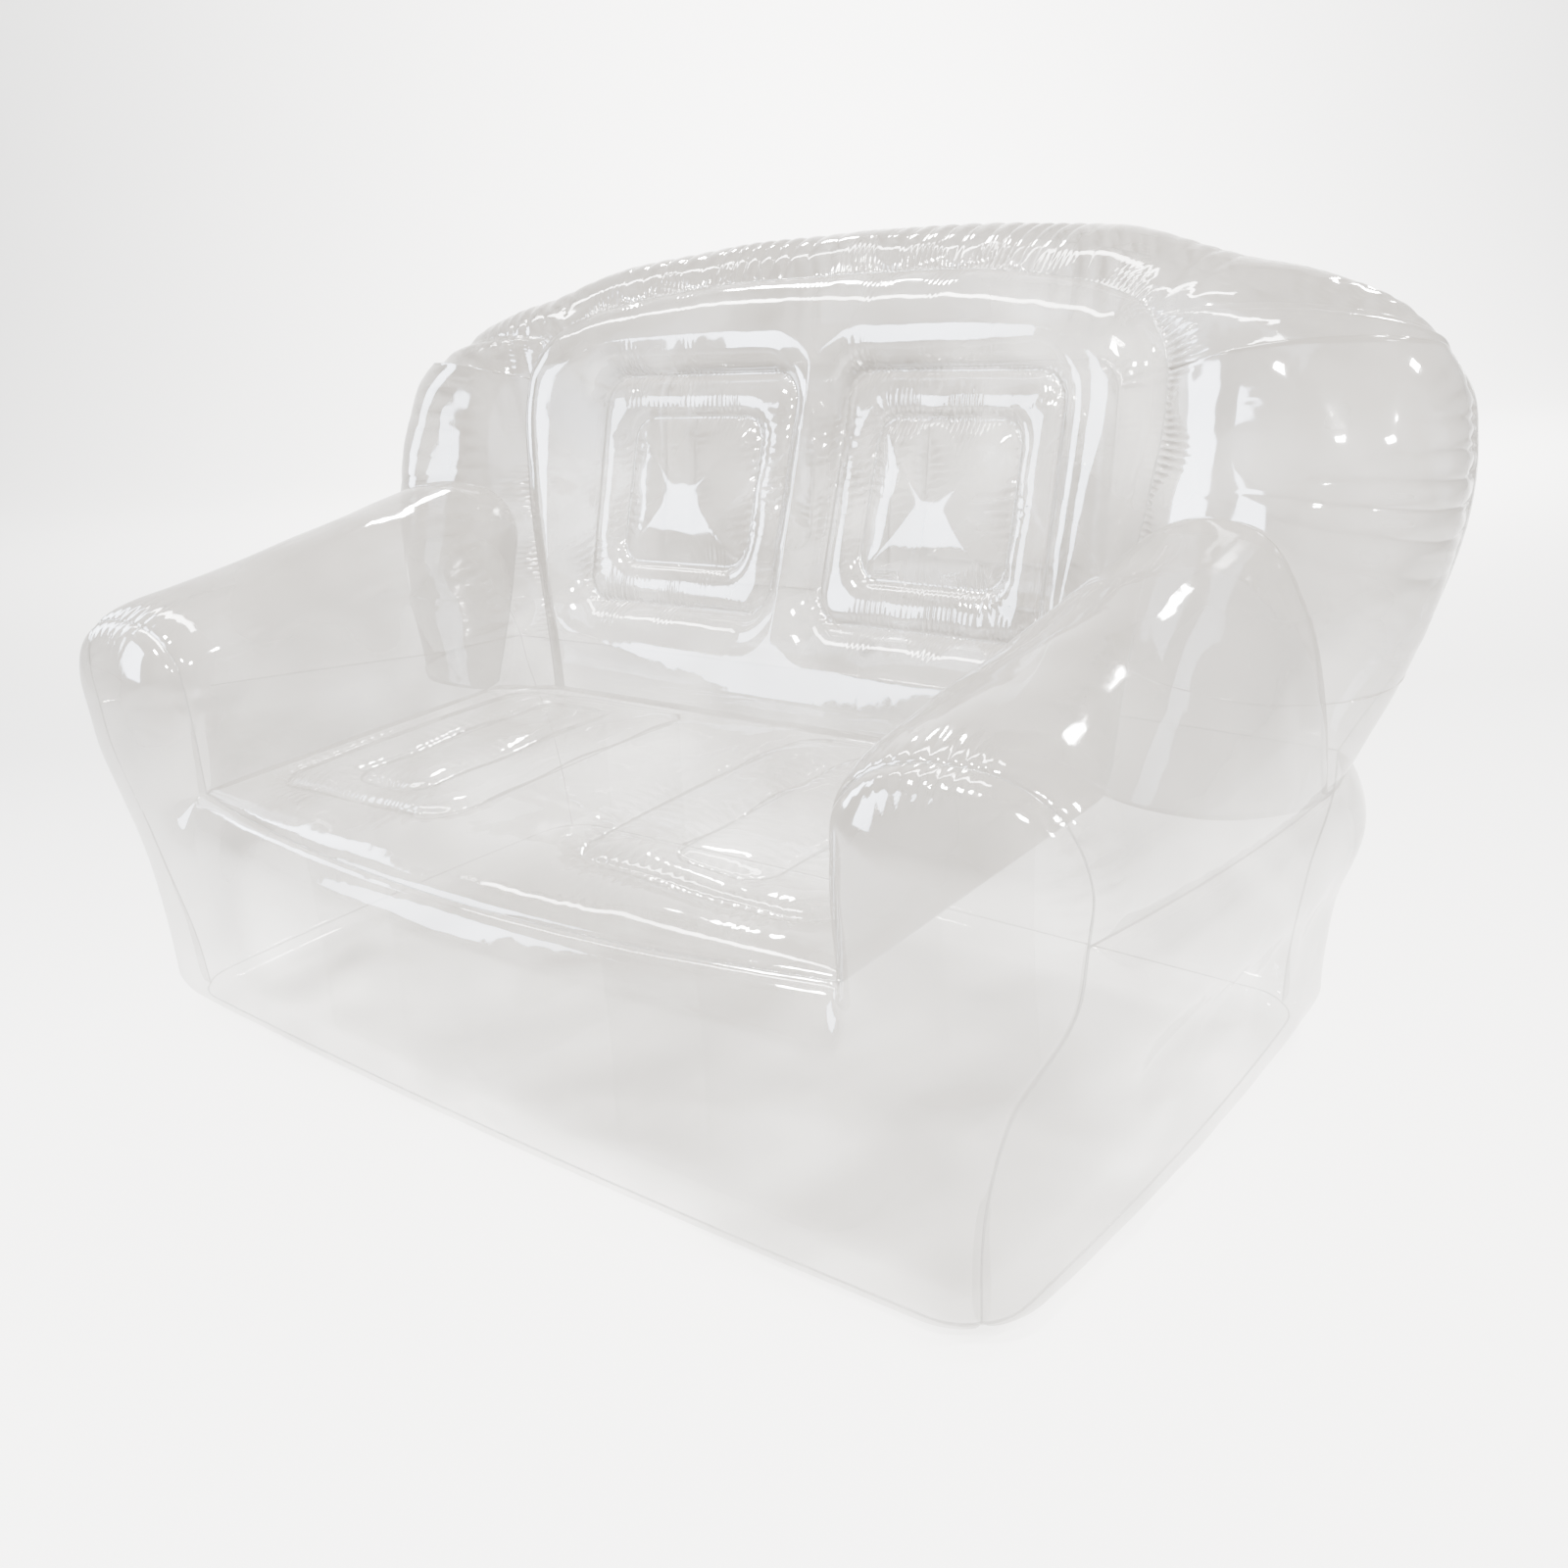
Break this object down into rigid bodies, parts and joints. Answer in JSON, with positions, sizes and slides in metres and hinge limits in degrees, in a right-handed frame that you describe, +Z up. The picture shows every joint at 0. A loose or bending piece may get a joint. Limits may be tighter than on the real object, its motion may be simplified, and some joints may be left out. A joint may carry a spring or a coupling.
{
  "type": "inflatable two-seat chair",
  "caption": "Clear inflatable love seat of welded film panels, with rolled arms, a curved back, tie rings and two filling valves.",
  "frame": {"origin": "middle of the bounding box on the floor, under the seat", "axes": "+X across the seat, to the right of someone who looks at the front; +Y from the front to the back; +Z up"},
  "size_m": [1.6102, 0.9216, 0.9477],
  "materials": {
    "clear_film": "clear glossy PVC film",
    "tie_strip": "clear PVC film, slightly hazy along its welds",
    "clear_valve": "moulded clear soft PVC"
  },
  "bodies": {
    "root": {"floor_panel": "clear_film", "front_panel": "clear_film", "side_panel_left": "clear_film", "side_panel_right": "clear_film", "base_rear_panel": "clear_film", "seat_top_sheet": "clear_film", "deck_sheet": "clear_film", "arm_sheet_left": "clear_film", "arm_sheet_right": "clear_film", "back_wing_sheet": "clear_film", "back_face_panel": "clear_film", "back_rear_panel": "clear_film", "seat_ring_outer_left": "tie_strip", "seat_ring_inner_left": "tie_strip", "seat_ring_outer_right": "tie_strip", "seat_ring_inner_right": "tie_strip", "back_ring_outer_left": "tie_strip", "back_ring_inner_left": "tie_strip", "back_ring_outer_right": "tie_strip", "back_ring_inner_right": "tie_strip", "base_valve_flange": "clear_valve", "back_valve_flange": "clear_valve"},
    "base_stem": {"base_valve_stem": "clear_valve"},
    "base_plug": {"base_valve_plug": "clear_valve"},
    "base_flap": {"base_valve_flap": "clear_valve"},
    "back_stem": {"back_valve_stem": "clear_valve"},
    "back_plug": {"back_valve_plug": "clear_valve"},
    "back_flap": {"back_valve_flap": "clear_valve"}
  },
  "joints": [
    {"name": "base_stem_push", "type": "slide", "parent": "root", "child": "base_stem", "axis": [0, -0.9976, -0.069], "range_m": [0, 0.0098]},
    {"name": "base_plug_swing", "type": "hinge", "parent": "base_stem", "child": "base_plug", "pos_m": [0, 0.40564, 0.23361], "axis": [1, 0, 0], "range_deg": [0, 150]},
    {"name": "base_flap_swing", "type": "hinge", "parent": "base_stem", "child": "base_flap", "pos_m": [0, 0.3781, 0.22749], "axis": [-1, 0, 0], "range_deg": [0, 60]},
    {"name": "back_stem_push", "type": "slide", "parent": "root", "child": "back_stem", "axis": [0, -0.9401, 0.3409], "range_m": [0, 0.0098]},
    {"name": "back_plug_swing", "type": "hinge", "parent": "back_stem", "child": "back_plug", "pos_m": [0, 0.38049, 0.39889], "axis": [1, 0, 0], "range_deg": [0, 150]},
    {"name": "back_flap_swing", "type": "hinge", "parent": "back_stem", "child": "back_flap", "pos_m": [0, 0.35283, 0.40445], "axis": [-1, 0, 0], "range_deg": [0, 60]}
  ]
}
